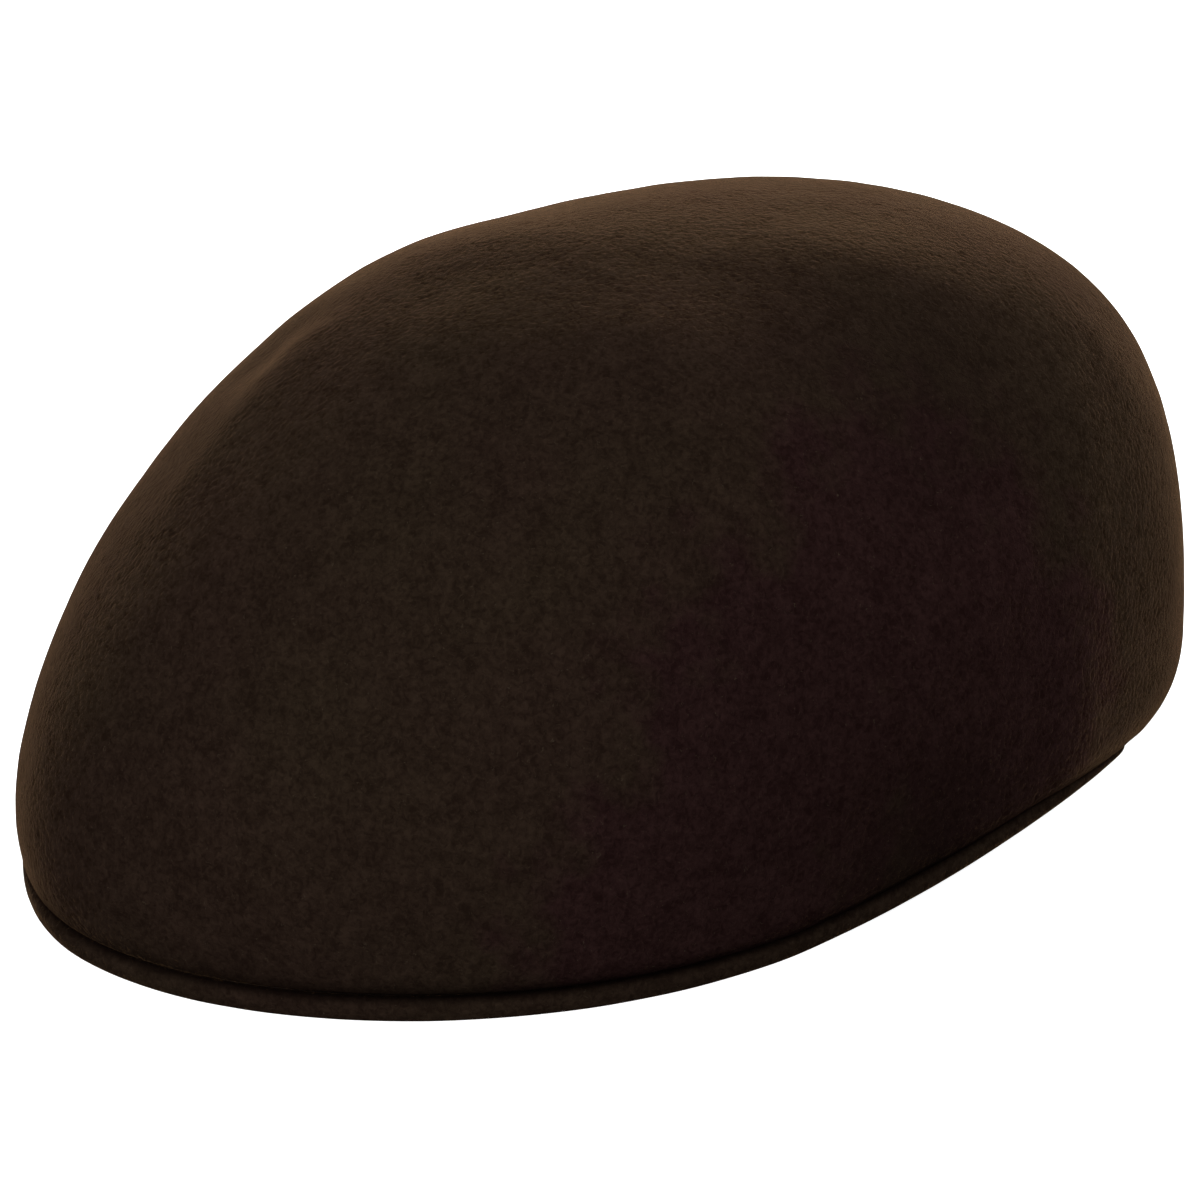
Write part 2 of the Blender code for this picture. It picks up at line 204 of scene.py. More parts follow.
def columns_at(angle):
    """The sections' values at angles from the front, as columns of numbers."""
    angle = np.asarray(angle, float)[:, None]
    east = np.sin(angle)
    north = -np.cos(angle)
    reach = np.interp(np.abs(angle), OUTLINE_ANGLE, OUTLINE_REACH)
    y = north * reach
    taper = smoothstep(STRIP_TAPER_START_Y, STRIP_END_Y, y)
    share = np.maximum(0.0, (y - ARCH_START_Y) / (LENGTH / 2 - ARCH_START_Y))
    greatest = 4.0 / 27.0  # of share squared times (1 - share)
    return SimpleNamespace(
        angle=angle, east=east, north=north, reach=reach, y=y, taper=taper,
        opening=opening_reach(east, north),
        inset=mixed(ROLL_INSET, east, north),
        low=mixed(LOW_PULL, east, north),
        top=mixed(TOP_PULL, east, north),
        strip=STRIP_HEIGHT + (STRIP_END_HEIGHT - STRIP_HEIGHT) * taper,
        rise=ARCH * share * share * (1.0 - share) / greatest,
    )


def even_angles(count, first=-math.pi, last=math.pi):
    """Angles evenly spaced along the widest outline, from first up to but without last."""
    angle = np.linspace(first, last, ANGLE_POINTS)
    reach = np.interp(np.abs(angle), OUTLINE_ANGLE, OUTLINE_REACH)
    steps = np.hypot(np.diff(reach * np.sin(angle)), np.diff(reach * np.cos(angle)))
    along = np.append(0.0, np.cumsum(steps))
    return np.interp(np.linspace(0.0, along[-1], count, endpoint=False), along, angle)


SEAT_BLEND = 4.0  # half the length over which the crown's edge comes down


def seat(c):
    """Height of the crown's lower edge, which comes down gently where the strip ends."""
    ending = smoothstep(STRIP_END_Y - SEAT_BLEND, STRIP_END_Y + SEAT_BLEND, c.y)
    return c.rise + (c.strip + GAP) * (1.0 - ending)


def around(count):
    """Angles of a number of points spread evenly round a circle."""
    return 2.0 * math.pi * np.arange(count) / count


def bulge_height(c):
    """Height of the crown's widest outline, which rises with the arch."""
    return BULGE_HEIGHT + c.rise


def crown_at(c, t, depth=0.0):
    """Distance from the axis and height on the crown, t from 0 at the bulge to 1 on top."""
    bulge = bulge_height(c)
    height = HEIGHT - bulge
    step = 1e-4
    before = np.maximum(0.0, t - step)
    after = np.minimum(1.0, t + step)
    r = c.reach * bezier(1, 1, c.top, 0, t)
    z = bulge + height * bezier(0, c.low, 1, 1, t)
    along_r = c.reach * (bezier(1, 1, c.top, 0, after) - bezier(1, 1, c.top, 0, before))
    along_z = height * (bezier(0, c.low, 1, 1, after) - bezier(0, c.low, 1, 1, before))
    length = np.hypot(along_r, along_z)
    return r - depth * along_z / length, z + depth * along_r / length


def place(c, r, z):
    """Points in space from distances and heights."""
    r, z = np.broadcast_arrays(r, z)
    return np.stack([c.east * r, c.north * r, z], -1)


SEED_STEP = 17.3  # moves each seed's noise away from the others


def noise_field(points, size, seed):
    """Smooth noise, about -1 to 1, with bumps of a size in millimetres."""
    flat = points.reshape(-1, 3) / size + seed * SEED_STEP
    values = [noise.noise(Vector(point)) for point in flat]
    return np.array(values).reshape(points.shape[:-1])


# ---- Making meshes ----

def mesh_object(name, points, faces, look, sharp_angle=SHARP_ANGLE):
    """A named object, from points in millimetres."""
    mesh = bpy.data.meshes.new(name)
    mesh.from_pydata((np.asarray(points) * MM).tolist(), [], faces)
    built = bmesh.new()
    built.from_mesh(mesh)
    bmesh.ops.recalc_face_normals(built, faces=built.faces)
    built.to_mesh(mesh)
    built.free()
    mesh.shade_smooth()
    mesh.set_sharp_from_angle(angle=math.radians(sharp_angle))
    mesh.materials.append(look)
    made = bpy.data.objects.new(name, mesh)
    bpy.context.scene.collection.objects.link(made)
    return made


def grid_faces(rows, width, wrap_rows, wrap_width):
    """Quads between the points of a grid that is stored row by row."""
    faces = []
    for i in range(rows if wrap_rows else rows - 1):
        here = i * width
        there = (i + 1) % rows * width
        for k in range(width if wrap_width else width - 1):
            n = (k + 1) % width
            faces.append((here + k, here + n, there + n, there + k))
    return faces


def tube_faces(rows, width):
    """The faces of a tube that is open along its rows, with flat ends."""
    faces = grid_faces(rows, width, False, True)
    faces.append(tuple(range(width)))
    faces.append(tuple((rows - 1) * width + k for k in range(width)))
    return faces


def ring(name, points, look, closed=True, sharp_angle=SHARP_ANGLE):
    """A tube of closed sections: a whole ring, or a stretch with flat ends."""
    rows, width, _ = points.shape
    faces = grid_faces(rows, width, True, True) if closed else tube_faces(rows, width)
    return mesh_object(name, points.reshape(-1, 3), faces, look, sharp_angle)


def dome(name, points, outer_top, inner_top, look):
    """Open sections round the axis whose first and last points meet on it."""
    rows, width, _ = points.shape
    faces = grid_faces(rows, width, True, False)
    above = rows * width
    below = above + 1
    for i in range(rows):
        n = (i + 1) % rows
        faces.append((above, i * width, n * width))
        faces.append((below, (i + 1) * width - 1, (n + 1) * width - 1))
    ends = [(0.0, 0.0, outer_top), (0.0, 0.0, inner_top)]
    return mesh_object(name, np.append(points.reshape(-1, 3), ends, 0), faces, look)


def set_crease_shade(piece, values):
    """Record how much painted shade each point of a mesh gets towards a crease, from 0 to 1."""
    attribute = piece.data.attributes.new("crease", "FLOAT", "POINT")
    attribute.data.foreach_set("value", np.asarray(values, float).ravel())


def finish_piece(piece, slot, *nodes):
    """Put a piece on the root body and hide the CAD nodes that it stands for; slot is not used."""
    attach(piece, "root")
    if nodes:
        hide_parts(*nodes)
    return piece


# ---- Materials ----

WAVE_PITCH = 0.314  # spacing of Blender's wave texture at a scale of 1


class Look:
    """A material with a Principled shader and helpers that add texture nodes to it."""

    def __init__(self, name, **constants):
        self.material = bpy.data.materials.new(name)
        self.material.use_nodes = True
        self.nodes = self.material.node_tree.nodes
        self.links = self.material.node_tree.links
        self.coordinates = self.nodes.new("ShaderNodeTexCoord").outputs["Object"]
        for key, value in constants.items():
            self.set(key.replace("_", " "), value)

    def feed(self, socket, value):
        """Give an input a number, a vector, a colour or another node's output."""
        if isinstance(value, bpy.types.NodeSocket):
            self.links.new(value, socket)
        elif socket.type == "RGBA":
            socket.default_value = (*value, 1.0)
        else:
            socket.default_value = value

    def set(self, key, value):
        """Feed one of the shader's inputs."""
        self.feed(self.nodes["Principled BSDF"].inputs[key], value)

    def finish(self, colour, roughness, normal):
        """The material, with the shader's main inputs fed."""
        self.set("Base Color", colour)
        self.set("Roughness", roughness)
        self.set("Normal", normal)
        return self.material

    def add(self, kind, output, inputs, **settings):
        """The output of a new node with the given inputs and settings."""
        node = self.nodes.new("ShaderNode" + kind)
        for key, value in settings.items():
            setattr(node, key, value)
        for key, value in inputs.items():
            self.feed(node.inputs[key], value)
        return node.outputs[output]

    def stretched(self, factors):
        """Coordinates drawn out along the axes, for marks that are longer one way."""
        return self.add("Mapping", "Vector", {"Vector": self.coordinates, "Scale": factors})

    def noise(self, size, detail=3.0, roughness=0.5, distortion=0.0, vector=None):
        """Noise whose marks have a size in millimetres."""
        inputs = {"Scale": 1.0 / (size * MM), "Vector": vector or self.coordinates}
        inputs.update(Detail=detail, Roughness=roughness, Distortion=distortion)
        return self.add("TexNoise", "Fac", inputs)

    def cells(self, size):
        """Distance to the nearest of scattered points a size apart."""
        inputs = {"Scale": 1.0 / (size * MM), "Vector": self.coordinates}
        return self.add("TexVoronoi", "Distance", inputs)

    def wave(self, pitch, direction):
        """Even bands a pitch apart, across one axis."""
        inputs = {"Scale": WAVE_PITCH / (pitch * MM), "Vector": self.coordinates}
        return self.add("TexWave", "Fac", inputs, bands_direction=direction)

    def levels(self, value, low, high, to_low=0.0, to_high=1.0):
        """A value's range from low to high, stretched to another range."""
        source = {"Value": value, "From Min": low, "From Max": high}
        return self.add("MapRange", "Result", {**source, "To Min": to_low, "To Max": to_high})

    def maths(self, operation, first, second):
        """A sum, product and so on of two values."""
        return self.add("Math", "Value", {0: first, 1: second}, operation=operation)

    def mix(self, factor, first, second):
        """A colour between two others."""
        node = self.nodes.new("ShaderNodeMix")
        node.data_type = "RGBA"
        self.feed(node.inputs["Factor"], factor)
        for key, value in (("A", first), ("B", second)):
            self.feed(next(s for s in node.inputs if s.name == key and s.type == "RGBA"), value)
        return next(s for s in node.outputs if s.type == "RGBA")

    def attribute(self, name):
        """A value that the mesh records at its points."""
        return self.add("Attribute", "Fac", {}, attribute_name=name)

    def near(self, point, inner, outer):
        """1 within the inner distance of a point, falling to 0 at the outer one."""
        inputs = {0: self.coordinates, 1: Vector(point) * MM}
        distance = self.add("VectorMath", "Value", inputs, operation="DISTANCE")
        return self.levels(distance, inner * MM, outer * MM, 1.0, 0.0)

    def bump(self, height, depth, strength, under=None):
        """Relief of a depth in millimetres, over another relief if one is given."""
        inputs = {"Strength": strength, "Distance": depth * MM, "Height": height}
        if under is not None:
            inputs["Normal"] = under
        return self.add("Bump", "Normal", inputs)


# Colours of the felt: a dark and a light one of its brown and of its redder dye
OLIVE_FELT = ((0.0158, 0.0097, 0.0062), (0.0334, 0.0218, 0.0138))
RED_FELT = ((0.0145, 0.0063, 0.0058), (0.0310, 0.0148, 0.0136))
# Colour of the painted shade in the patches listed below
PAINTED_SHADE_FELT = (0.0090, 0.0050, 0.0042)
# Colour of the painted shade in the creases
CREASE_SHADE_COLOUR = (0.004, 0.0022, 0.0018)
FELT_FLECK = (0.060, 0.044, 0.030)
# The middles of the spots that make up the crown's redder patch, on the left side
RED_SPOTS = [(92, -42, 14), (86, -20, 48), (80, 12, 68), (92, 34, 36)]
RED_SPOT_CORE = 12.0
RED_SPOT_REACH = 60.0
# Patches of painted shade, low on the left side and on the top towards the left: middle, reach and
# strength
PAINTED_SHADE_SPOTS = [((98, 12, 8), 34.0, 0.85), ((60, 34, 102), 46.0, 0.5)]


def felt_look(name, sheen=0.2, red_spots=(), shade_spots=()):
    """Wool felt: dark brown, finely mottled, with a soft sheen from its nap.

    It is redder in blotches and round the red spots, darker with painted shade in the shade spots,
    and darker with painted shade in the mesh's creases.
    """
    look = Look(name, Specular_IOR_Level=0.0, Sheen_Weight=sheen, Sheen_Roughness=0.2,
                Sheen_Tint=(1.0, 0.58, 0.30))
    fine = look.noise(1.3, 4.0, 0.66, 0.6)
    cloudy = look.levels(look.noise(5.0, 3.0), 0.0, 1.0, -0.2, 0.2)
    mottle = look.levels(look.maths("ADD", fine, cloudy), 0.34, 0.68)
    redder = look.levels(look.noise(45.0, 2.0), 0.35, 0.65, 0.0, 0.3)
    ragged = look.levels(look.noise(12.0, 5.0), 0.3, 0.7, -0.22, 0.22)
    for spot in red_spots:
        near = look.near(spot, RED_SPOT_CORE, RED_SPOT_REACH)
        patch = look.levels(look.maths("ADD", near, ragged), 0.3, 0.65)
        redder = look.maths("MAXIMUM", redder, patch)
    fleck = look.levels(look.noise(0.8, 2.0, 0.7, 1.5), 0.66, 0.78)
    body = look.mix(redder, look.mix(mottle, *OLIVE_FELT), look.mix(mottle, *RED_FELT))
    # painted shade over each listed patch
    for spot, reach, strength in shade_spots:
        shaded = look.maths("MULTIPLY", look.near(spot, 0.0, reach), strength)
        body = look.mix(shaded, body, PAINTED_SHADE_FELT)
    fibrous = look.mix(fleck, body, FELT_FLECK)
    # painted shade in the creases, as much as the mesh's crease attribute gives
    crease_shaded = look.mix(look.attribute("crease"), fibrous, CREASE_SHADE_COLOUR)
    roughness = look.levels(mottle, 0.0, 1.0, 0.98, 0.82)
    coarse = look.bump(mottle, 0.3, 0.5)
    nap = look.bump(look.noise(0.45, 3.0, 0.7, 0.8), 0.12, 0.55, coarse)
    return look.finish(crease_shaded, roughness, nap)


def satin_look(name, dark, light):
    """Woven satin: long floats that shine, a little uneven."""
    look = Look(name, Specular_IOR_Level=0.5, Anisotropic=0.45, Sheen_Weight=0.1,
                Sheen_Roughness=0.35, Sheen_Tint=(1.0, 0.75, 0.58))
    threads = look.noise(0.5, 2.0, 0.5, 0.0, look.stretched((1.0, 1.0, 0.12)))
    colour = look.mix(look.levels(threads, 0.35, 0.65), dark, light)
    roughness = look.levels(look.noise(30.0, 2.0), 0.3, 0.7, 0.34, 0.48)
    slack = look.bump(look.noise(9.0, 2.0), 0.5, 0.5)
    return look.finish(colour, roughness, look.bump(threads, 0.05, 0.5, slack))


TANNED_LEATHER = ((0.038, 0.018, 0.010), (0.075, 0.038, 0.021))  # dark and worn
LEATHER_GRAIN = (0.022, 0.010, 0.006)


def leather_look(name):
    """Thin brown leather with pebbled grain, worn smoother and lighter in places."""
    look = Look(name, Specular_IOR_Level=0.45, Coat_Weight=0.12, Coat_Roughness=0.3)
    grain = look.cells(0.85)
    pores = look.levels(look.cells(0.5), 0.0, 0.25)
    wear = look.levels(look.noise(22.0, 4.0, 0.6), 0.4, 0.7)
    tanned = look.mix(wear, *TANNED_LEATHER)
    colour = look.mix(look.levels(grain, 0.1, 0.6), tanned, LEATHER_GRAIN)
    roughness = look.levels(wear, 0.0, 1.0, 0.55, 0.38)
    pebbles = look.bump(look.levels(grain, 0.0, 0.7, 1.0, 0.0), 0.12, 0.6)
    return look.finish(colour, roughness, look.bump(pores, 0.05, 0.4, pebbles))


def thread_look(name, dark, light):
    """Twisted sewing thread."""
    look = Look(name, Specular_IOR_Level=0.4, Sheen_Weight=0.2)
    twist = look.noise(0.25, 2.0, 0.6)
    colour = look.mix(look.levels(twist, 0.3, 0.7), dark, light)
    roughness = look.levels(twist, 0.0, 1.0, 0.45, 0.7)
    return look.finish(colour, roughness, look.bump(twist, 0.05, 0.6))


def woven_look(name, dark, light, pitch):
    """Plain woven cloth with threads a pitch apart, upright and across."""
    look = Look(name, Specular_IOR_Level=0.25, Sheen_Weight=0.15, Sheen_Roughness=0.5,
                Sheen_Tint=(1.0, 0.8, 0.62))
    weave = look.maths("MULTIPLY", look.wave(pitch, "X"), look.wave(pitch, "Z"))
    soil = look.maths("MULTIPLY", look.levels(look.noise(6.0, 3.0), 0.3, 0.7), 0.35)
    colour = look.mix(soil, look.mix(weave, dark, light), dark)
    roughness = look.levels(weave, 0.0, 1.0, 0.9, 0.7)
    return look.finish(colour, roughness, look.bump(weave, 0.12, 0.7))


def plastic_look(name, colour):
    """Dull moulded plastic with faint flow marks."""
    look = Look(name, Specular_IOR_Level=0.4)
    darker = tuple(0.7 * part for part in colour)
    marked = look.mix(look.noise(12.0, 3.0), darker, colour)
    fine = look.noise(0.6, 2.0)
    roughness = look.levels(fine, 0.3, 0.7, 0.5, 0.65)
    return look.finish(marked, roughness, look.bump(fine, 0.03, 0.4))


# ---- The felt: crown and facing ----

def swelling(points, centre, radii, height):
    """A soft rise, or a hollow where height is below zero, round a centre."""
    away = (points - np.array(centre)) / np.array(radii)
    return height * np.exp(-0.5 * (away ** 2).sum(-1))


def ridge(points, path, width, height):
    """A soft rise, or a valley where height is below zero, along a path of points."""
    nearest = np.full(points.shape[:-1], np.inf)
    for start, end in zip(path, path[1:]):
        start = np.array(start)
        line = np.array(end) - start
        share = np.clip((points - start) @ line / (line @ line), 0.0, 1.0)
        away = points - start - share[..., None] * line
        nearest = np.minimum(nearest, (away ** 2).sum(-1))
    return height * np.exp(-0.5 * nearest / width ** 2)


# The felt's unevenness all over: size and height of its lumps
LUMPS = [(48.0, 0.55), (17.0, 0.22), (6.0, 0.07)]
# Rises, and hollows where the height is below zero: centre, radii and height
SWELLINGS = [
    ((97, 4, 18), (20, 18, 22), -1.8),  # the left side, low down
    ((-42, -60, 96), (9, 9, 9), -1.1),  # beyond the fold at the front
    ((-92, 6, 46), (20, 30, 22), -1.2),  # the right side
    ((12, 136, 52), (34, 14, 22), -0.9),  # the back
]
# Soft folds, and valleys where the height is below zero: path, width and height
RIDGES = [
    # over the hollow on the left side, and the turn to the back behind it
    ([(96, -14, 36), (94, 2, 48), (90, 22, 60), (85, 42, 66)], 6.0, 0.9),
    ([(70, 68, 84), (83, 58, 56), (88, 56, 26)], 8.0, 1.3),
    # a shallow valley across the front of the top, and a fuller back on the left
    ([(-8, -32, 117), (13, -14, 119), (26, 4, 118)], 13.0, -1.4),
    ([(28, 42, 116), (46, 60, 108), (56, 80, 98)], 12.0, 1.0),
    # down the right of the front
    ([(-30, -57, 101), (-24, -74, 94), (-20, -90, 84)], 6.5, 0.9),
    # the right side
    ([(-72, 62, 82), (-86, 52, 50)], 10.0, 0.7),
]


def felt_relief(points):
    """How far the blocked felt stands off its smooth form."""
    relief = np.zeros(points.shape[:-1])
    for seed, (size, height) in enumerate(LUMPS, 1):
        relief += height * noise_field(points, size, seed)
    for centre, radii, height in SWELLINGS:
        relief += swelling(points, centre, radii, height)
    for path, width, height in RIDGES:
        relief += ridge(points, path, width, height)
    return relief


EDGE_ROUND = 0.8  # radius of the crown's lower edge
CREASE = 0.9  # open height of the crease between that edge and the facing
CREASE_DEPTH = 3.0
CREASE_END_DEPTH = 1.1  # its depth where the strip ends
CREASE_FADE = (92.0, 122.0)  # y over which the crease closes behind the strip
CREASE_LEFT_OPEN = 0.02  # share that stays open, so that no face is without area
FLANGE_LEAST = 0.2  # share of the edge's width that the crease leaves
CREASE_SHADE = 0.8  # how dark the painted shade on the rolled edge gets towards the crease
CREASE_TURN = (0.2, 1.4)  # radians of its turn over which the painted shade comes in
SHEEN_STEPS = 3  # steps of the rolled edge that share one look
# Sheen of the felt's shaded copies down the rolled edge, less and less, so that the edge shows no
# sheen by the crease
CREASE_SHEENS = (0.13, 0.06, 0.0)
# y over which the shaded copies' loss of sheen comes to start halfway down the rolled edge, not at
# its top
SHEEN_BACK = (40.0, 90.0)
SHEEN_FRONT = (-95.0, -130.0)


def crown_outside(c):
    """The crown's outer face down to the bulge, and its relief there."""
    t = np.linspace(1.0, 0.0, CROWN_STEPS + 1)[1:]
    relief = felt_relief(place(c, *crown_at(c, t)))
    return place(c, *crown_at(c, t, -relief)), relief[:, -1:]


def rolled_edge(c, turn, relief, lip):
    """The crown from the bulge down to the lip, its rounded lower edge."""
    bulge = bulge_height(c)
    wall = c.reach + relief * np.cos(turn) - c.inset * (1.0 - np.cos(turn))
    z = bulge - np.sin(turn) * (bulge - lip)
    near = np.clip(1.0 - (z - lip) / EDGE_ROUND, 0.0, 1.0)
    return place(c, wall - EDGE_ROUND * (1.0 - np.sqrt(1.0 - near ** 2)), z)


def turned_edge(c, lip):
    """The crease, then the lower and the upper face of the turned-in edge behind it."""
    low = seat(c)
    edge = c.reach - c.inset - EDGE_ROUND
    full = c.opening + GAP
    widen = smoothstep(0.0, STRIP_TAPER_START_Y, c.y)
    end = np.maximum(full, edge - FLANGE_WIDTH + widen * (full - edge + FLANGE_WIDTH))
    deep = CREASE_DEPTH + (CREASE_END_DEPTH - CREASE_DEPTH) * c.taper
    inner = np.maximum(end + FLANGE_LEAST * (edge - end), edge - deep)
    turned = c.reach - c.inset - FELT
    inward = np.linspace(0.0, 1.0, FLANGE_STEPS + 1)[1:]
    crease = place(c, np.hstack([inner, inner]), np.hstack([lip, low]))
    under = place(c, inner + (end - inner) * inward, low)
    above = place(c, turned + (end - turned) * inward[::-1], low + FLANGE)
    return np.concatenate([crease, under, above], 1)


def crown_inside(c, turn):
    """The crown's inner face, from the turned-in edge up."""
    bulge = bulge_height(c)
    foot = seat(c) + FLANGE
    wall = c.reach - FELT - c.inset * (1.0 - np.cos(turn))
    rolled = place(c, wall, bulge - np.sin(turn) * (bulge - foot))
    t = np.linspace(0.0, 1.0, INNER_STEPS + 1)[:-1]
    return np.append(rolled, place(c, *crown_at(c, t, FELT)), 1)


def paint_crease_shade(crown, c, turn, held, width, shaded_looks):
    """Paint shade on the crown towards the crease, and lay shaded copies of the felt, with less and
    less sheen, down the rolled edge.
    """
    folded = slice(CROWN_STEPS, CROWN_STEPS + ROLL_STEPS)
    crease_end = folded.stop + 2
    depth = np.zeros((COLUMNS, width))
    # painted shade on the rolled edge and in the crease
    depth[:, folded] = CREASE_SHADE * held * smoothstep(*CREASE_TURN, turn)
    depth[:, folded.stop:crease_end] = held
    set_crease_shade(crown, np.append(depth, [0.0, 0.0]))
    # shaded copies of the felt, with less sheen, down the rolled edge
    for shaded_look in shaded_looks:
        crown.data.materials.append(shaded_look)
    flat_ends = smoothstep(*SHEEN_BACK, c.y) + smoothstep(*SHEEN_FRONT, c.y)
    first = CROWN_STEPS + (ROLL_STEPS // 2) * flat_ends[:, 0]
    for face in crown.data.polygons[:COLUMNS * (width - 1)]:
        column, step = divmod(face.index, width - 1)
        if first[column] <= step < crease_end:
            stage = 1 + int((step - first[column]) // SHEEN_STEPS)
            face.material_index = min(stage, len(shaded_looks))


def make_crown(look, shaded_looks):
    """The crown with its turned-in edge, its thickness and its inner face."""
    c = columns_at(even_angles(COLUMNS))
    held = 1.0 - (1.0 - CREASE_LEFT_OPEN) * smoothstep(*CREASE_FADE, c.y)
    lip = seat(c) + CREASE * held
    turn = np.radians(90.0 * np.arange(1, ROLL_STEPS + 1) / ROLL_STEPS)
    outside, relief = crown_outside(c)
    edges = [rolled_edge(c, turn, relief, lip), turned_edge(c, lip)]
    points = np.concatenate([outside] + edges + [crown_inside(c, turn[::-2])], 1)
    lift = float(felt_relief(np.array([[0.0, 0.0, HEIGHT]]))[0])
    crown = dome("crown_felt_body", points, HEIGHT + lift, HEIGHT - FELT, look)
    paint_crease_shade(crown, c, turn, held, points.shape[1], shaded_looks)
    finish_piece(crown, "crown_felt", "crown")


STRIP_END_ROUND = 5.0  # length over which the facing's ends are rounded off
STRIP_END_TUCK = 1.8  # how far they turn in under the crown
STRIP_END_RISE = 0.8  # how much taller the fold's ends are than the board's cover
FELT_CONTACT = 0.03  # clearance of the facing's ends under the crown's turned edge
FOLD_BEND = 2.2  # how far in from the folded edge the bend starts
FOLD_UNEVEN = 0.12
FOLD_SHADE = 0.85  # how dark the painted shade on the fold gets towards the crease
FOLD_TURN = (0.2, 1.3)  # radians of its bend over which the painted shade comes in
# Powers that shape the fold: outwards in its lower and upper half, and upwards
FOLD_FULLNESS = (0.4, 1.1)
FOLD_SQUARENESS = 0.85
POCKET_MARGIN = 1.0  # degrees between the board's ends and its pocket's
POCKET_END = (0.3, 0.6)  # where a pocket would lie beyond them, as shares of the width
STITCH_ROWS = (6.5, 9.5)  # distance of the facing's seams from its folded edge
FURROW_DEPTH = 0.55
FURROW_WIDTH = 0.7
FURROW_FADE = (10.5, 14.0)  # facing's width over which the furrows come in
STITCHED_WIDTH = 13.0  # where it is narrower, the facing has no stitches


def blunt_end(c):
    """1 along the facing, falling to 0 in a quarter round at its ends."""
    ending = np.clip((c.y - STRIP_END_Y) / STRIP_END_ROUND + 1.0, 0.0, 1.0)
    return np.sqrt(1.0 - ending ** 2)


def facing_edges(c):
    """The facing's inner and outer edges; its ends turn in under the crown, bluntly."""
    outer = c.reach - c.inset + STRIP_PROUD - STRIP_END_TUCK * (1.0 - blunt_end(c))
    inner = c.opening + GAP
    return inner + c.taper * (outer - FACING_END_WIDTH - inner), outer


def seam_groove(from_edge, width):
    """Depth of the furrows that the seams pull into the facing, where it is wide."""
    furrows = sum(bell(from_edge - row, FURROW_WIDTH) for row in STITCH_ROWS)
    return FURROW_DEPTH * furrows * smoothstep(*FURROW_FADE, width)


def facing_angles(count):
    """Angles over the stretch that the facing covers, from end to end."""
    limit = float(np.interp(STRIP_END_Y, -OUTLINE_REACH * np.cos(OUTLINE_ANGLE), OUTLINE_ANGLE))
    return np.append(even_angles(count, -limit, limit), limit)


def facing_bottom(c, inner, outer, arc):
    """Distances and heights along the facing's lower face and round its folded edge."""
    tall = c.strip + STRIP_END_RISE * c.taper * blunt_end(c)
    bend = np.minimum(FOLD_BEND, 0.5 * tall)
    soft = FOLD_UNEVEN * noise_field(place(c, outer, c.rise), 9.0, 5)
    across = np.linspace(0.0, 1.0, FACING_STEPS, endpoint=False)
    flat_r = inner + (outer - inner - bend) * across
    flat_z = c.rise + seam_groove(outer - flat_r, outer - inner)
    fold_r = outer - bend + (bend + soft) * np.cos(arc) ** np.where(arc < 0.0, *FOLD_FULLNESS)
    up = squared(np.sin(arc), FOLD_SQUARENESS)
    return np.hstack([flat_r, fold_r]), np.hstack([flat_z, c.rise + 0.5 * tall * (1.0 + up)])


def facing_top(c, inner, outer):
    """Distances and heights along its upper face, inwards over the board's pocket."""
    pocket_angle = math.radians(BOARD_ANGLE + POCKET_MARGIN)
    inside = np.abs(c.angle) < pocket_angle
    share = np.minimum(1.0, np.abs(c.angle) / pocket_angle)
    near = c.opening + BOARD_INNER_LIP - GAP
    tapered = near + BOARD_TIP_WIDTH + 2 * GAP + BOARD_DEPTH * (1.0 - share * share)
    far = np.minimum(outer - BOARD_LIP + GAP, tapered)
    near = np.where(inside, near, inner + POCKET_END[0] * (outer - inner))
    far = np.where(inside, far, inner + POCKET_END[1] * (outer - inner))
    meets = smoothstep(STRIP_TAPER_START_Y - 10.0, STRIP_TAPER_START_Y, c.y)
    top = c.rise + c.strip + meets * (seat(c) - FELT_CONTACT - c.rise - c.strip)
    floor = np.where(inside, BOARD_FLOOR, top - FELT_CONTACT)
    return np.hstack([far, far, near, near, inner]), np.hstack([top, floor, floor, top, top])


def make_facing(look):
    """The felt facing under the peak, with its folded edge and the board's pocket."""
    c = columns_at(facing_angles(FACING_COLUMNS))
    inner, outer = facing_edges(c)
    arc = np.radians(np.linspace(-90.0, 90.0, FOLD_STEPS))
    bottom = facing_bottom(c, inner, outer, arc)
    sections = [np.hstack(pair) for pair in zip(bottom, facing_top(c, inner, outer))]
    points = place(c, *sections)
    facing = ring("peak_facing_felt", points, look, closed=False)
    depth = np.zeros(points.shape[:2])
    # painted shade on the fold's upper part, towards the crease under the crown
    depth[:, FACING_STEPS:FACING_STEPS + FOLD_STEPS] = FOLD_SHADE * smoothstep(*FOLD_TURN, arc)
    set_crease_shade(facing, depth)
    finish_piece(facing, "facing_felt", "brim_facing")


# ---- Seams ----

STITCH_SIDES = 8
STITCH_RINGS = 7


